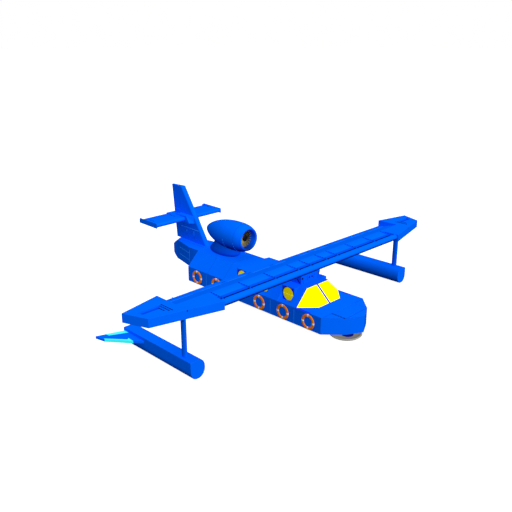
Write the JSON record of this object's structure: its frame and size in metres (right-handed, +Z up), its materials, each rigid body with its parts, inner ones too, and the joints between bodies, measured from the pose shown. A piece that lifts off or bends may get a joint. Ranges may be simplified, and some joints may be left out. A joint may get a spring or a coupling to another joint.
{
  "type": "flying boat",
  "caption": "Blue single-engine flying boat with a boxy cabin hull, high wing, wing-tip floats on struts, roof-mounted ducted fan engine and cruciform tail.",
  "frame": {"origin": "centre of the bounding box, on the floor the floats and the bow skid stand on", "axes": "+X to port, the bow points along -Y, +Z up"},
  "size_m": [17.77, 12.52, 4.656],
  "materials": {
    "blue_paint": "satin",
    "yellow_glazing": "tinted gloss",
    "life_ring_orange": "matte",
    "beige_skid": "matte",
    "navy_post": "satin",
    "fan_metal": "dark",
    "engine_block": "matte"
  },
  "bodies": {
    "airframe": {"hull_shell": "blue_paint", "foredeck": "blue_paint", "windscreen_frame": "blue_paint", "windscreen_pane_port": "yellow_glazing", "windscreen_pane_starboard": "yellow_glazing", "cabin_side_port": "blue_paint", "cabin_side_starboard": "blue_paint", "porthole_pane_port_1": "yellow_glazing", "porthole_pane_port_2": "yellow_glazing", "porthole_pane_port_3": "yellow_glazing", "porthole_pane_starboard_1": "yellow_glazing", "porthole_pane_starboard_2": "yellow_glazing", "porthole_pane_starboard_3": "yellow_glazing", "cabin_roof": "blue_paint", "transom": "blue_paint", "life_ring_port_1": "life_ring_orange", "life_ring_port_2": "life_ring_orange", "life_ring_port_3": "life_ring_orange", "life_ring_port_4": "life_ring_orange", "life_ring_port_5": "life_ring_orange", "life_ring_port_6": "life_ring_orange", "life_ring_starboard_1": "life_ring_orange", "life_ring_starboard_2": "life_ring_orange", "life_ring_starboard_3": "life_ring_orange", "life_ring_starboard_4": "life_ring_orange", "life_ring_starboard_5": "life_ring_orange", "life_ring_starboard_6": "life_ring_orange", "wing_panel": "blue_paint", "leading_edge_tube": "blue_paint", "wing_pylon": "blue_paint", "wing_tip_port": "blue_paint", "wing_tip_starboard": "blue_paint", "strut_port": "blue_paint", "strut_starboard": "blue_paint", "float_port": "blue_paint", "float_starboard": "blue_paint", "float_fin_port": "blue_paint", "float_fin_starboard": "blue_paint", "bow_skid_dish": "beige_skid", "bow_skid_post": "navy_post", "nacelle": "blue_paint", "engine_core": "engine_block", "engine_pylon": "blue_paint", "tail_section": "blue_paint", "fin": "blue_paint", "stabilizer": "blue_paint"},
    "fan_rotor": {"fan": "fan_metal"},
    "hatch_lid": {"bow_hatch": "blue_paint"},
    "flap_port_body": {"flap_port": "blue_paint"},
    "flap_starboard_body": {"flap_starboard": "blue_paint"},
    "aileron_port_body": {"aileron_port": "blue_paint"},
    "aileron_starboard_body": {"aileron_starboard": "blue_paint"},
    "rudder_lower_body": {"rudder_lower": "blue_paint"},
    "rudder_upper_body": {"rudder_upper": "blue_paint"},
    "elevator_port_body": {"elevator_port": "blue_paint"},
    "elevator_starboard_body": {"elevator_starboard": "blue_paint"}
  },
  "joints": [
    {"name": "fan_spin", "type": "hinge", "parent": "airframe", "child": "fan_rotor", "pos_m": [0, 0.9, 2.876], "axis": [0, 1, 0], "continuous": true},
    {"name": "hatch_lift", "type": "hinge", "parent": "airframe", "child": "hatch_lid", "pos_m": [0, -5.212, 1.1451], "axis": [-1, 0, 0], "range_deg": [0, 85]},
    {"name": "flap_port_hinge", "type": "hinge", "parent": "airframe", "child": "flap_port_body", "pos_m": [1.63, -2.24, 2.578], "axis": [-1, 0, 0], "range_deg": [0, 30]},
    {"name": "flap_starboard_hinge", "type": "hinge", "parent": "airframe", "child": "flap_starboard_body", "pos_m": [-1.63, -2.24, 2.578], "axis": [-1, 0, 0], "range_deg": [0, 30]},
    {"name": "aileron_port_hinge", "type": "hinge", "parent": "airframe", "child": "aileron_port_body", "pos_m": [4.15, -2.24, 2.578], "axis": [-1, 0, 0], "range_deg": [-18, 18]},
    {"name": "aileron_starboard_hinge", "type": "hinge", "parent": "airframe", "child": "aileron_starboard_body", "pos_m": [-4.15, -2.24, 2.578], "axis": [-1, 0, 0], "range_deg": [-18, 18]},
    {"name": "rudder_lower_hinge", "type": "hinge", "parent": "airframe", "child": "rudder_lower_body", "pos_m": [0, 5.5, 2.335], "axis": [0, 0, 1], "range_deg": [-25, 25]},
    {"name": "rudder_upper_hinge", "type": "hinge", "parent": "airframe", "child": "rudder_upper_body", "pos_m": [0, 5.5, 3.83], "axis": [0, 0, 1], "range_deg": [-25, 25]},
    {"name": "elevator_port_hinge", "type": "hinge", "parent": "airframe", "child": "elevator_port_body", "pos_m": [1.225, 5.84, 3.0595], "axis": [-1, 0, 0], "range_deg": [-20, 20]},
    {"name": "elevator_starboard_hinge", "type": "hinge", "parent": "airframe", "child": "elevator_starboard_body", "pos_m": [-1.225, 5.84, 3.0595], "axis": [-1, 0, 0], "range_deg": [-20, 20]}
  ],
  "couplings": [
    {"joint": "flap_starboard_hinge", "follows": "flap_port_hinge", "ratio": 1},
    {"joint": "aileron_starboard_hinge", "follows": "aileron_port_hinge", "ratio": -1},
    {"joint": "rudder_upper_hinge", "follows": "rudder_lower_hinge", "ratio": 1},
    {"joint": "elevator_starboard_hinge", "follows": "elevator_port_hinge", "ratio": 1}
  ]
}
